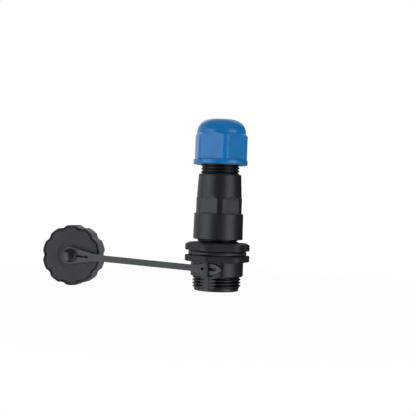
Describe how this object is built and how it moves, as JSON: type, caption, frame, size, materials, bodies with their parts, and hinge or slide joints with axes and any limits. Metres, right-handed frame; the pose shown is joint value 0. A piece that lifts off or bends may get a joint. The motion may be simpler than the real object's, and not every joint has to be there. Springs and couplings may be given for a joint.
{
  "type": "circular connector panel socket",
  "caption": "Panel-mount circular connector socket in black plastic with hexagon flange and nut, back shell, blue domed cable gland nut and a scalloped screw cap on a strap.",
  "frame": {"origin": "on the connector's axis, at the panel face of the hexagon flange", "axes": "+Z along the connector's axis towards the cable gland, -Y towards the side that the picture shows, with the strap and cap towards -X"},
  "size_m": [0.0663, 0.0196, 0.0542],
  "materials": {
    "black_plastic": "satin moulded",
    "cap_plastic": "matte moulded",
    "strap_plastic": "matte moulded",
    "blue_plastic": "satin moulded",
    "insulator_plastic": "matte",
    "seal_rubber": "matte",
    "contact_gold": "gold plated"
  },
  "bodies": {
    "connector": {"socket_shell": "black_plastic", "mating_seal": "seal_rubber", "contact_insert": "insulator_plastic", "insert_ring": "insulator_plastic", "contact_1": "contact_gold", "contact_2": "contact_gold", "contact_3": "contact_gold", "contact_4": "contact_gold", "contact_5": "contact_gold", "contact_6": "contact_gold", "contact_7": "contact_gold", "panel_gasket": "seal_rubber", "back_shell": "black_plastic", "back_shell_oring": "seal_rubber", "cable_seal": "seal_rubber"},
    "panel_nut": {"panel_nut": "black_plastic"},
    "clamp": {"clamp_ring": "insulator_plastic"},
    "gland_nut": {"gland_nut": "blue_plastic"},
    "strap": {"tether_strap": "strap_plastic"},
    "cap": {"cap": "cap_plastic", "cap_seal": "seal_rubber"}
  },
  "joints": [
    {"name": "panel_nut_turn", "type": "hinge", "parent": "connector", "child": "panel_nut", "pos_m": [0, 0, 0.0027], "axis": [0, 0, 1], "range_deg": [0, 430]},
    {"name": "gland_feed", "type": "slide", "parent": "connector", "child": "clamp", "axis": [0, 0, 1], "range_m": [-0.0025, 0.004]},
    {"name": "gland_turn", "type": "hinge", "parent": "clamp", "child": "gland_nut", "pos_m": [0, 0, 0.036], "axis": [0, 0, 1], "range_deg": [-900, 1440]},
    {"name": "strap_swing", "type": "hinge", "parent": "connector", "child": "strap", "pos_m": [-0.00501, -0.00621, -0.00404], "axis": [0, 0, 1], "range_deg": [-8, 70], "deforming": ["tether_strap"]},
    {"name": "cap_spin", "type": "hinge", "parent": "strap", "child": "cap", "pos_m": [-0.04659, 0.00178, -0.00183], "axis": [-0.1736, -0.9848, 0], "continuous": true}
  ],
  "couplings": [
    {"joint": "gland_feed", "follows": "gland_turn", "m_per_rad": 0.00015915}
  ]
}
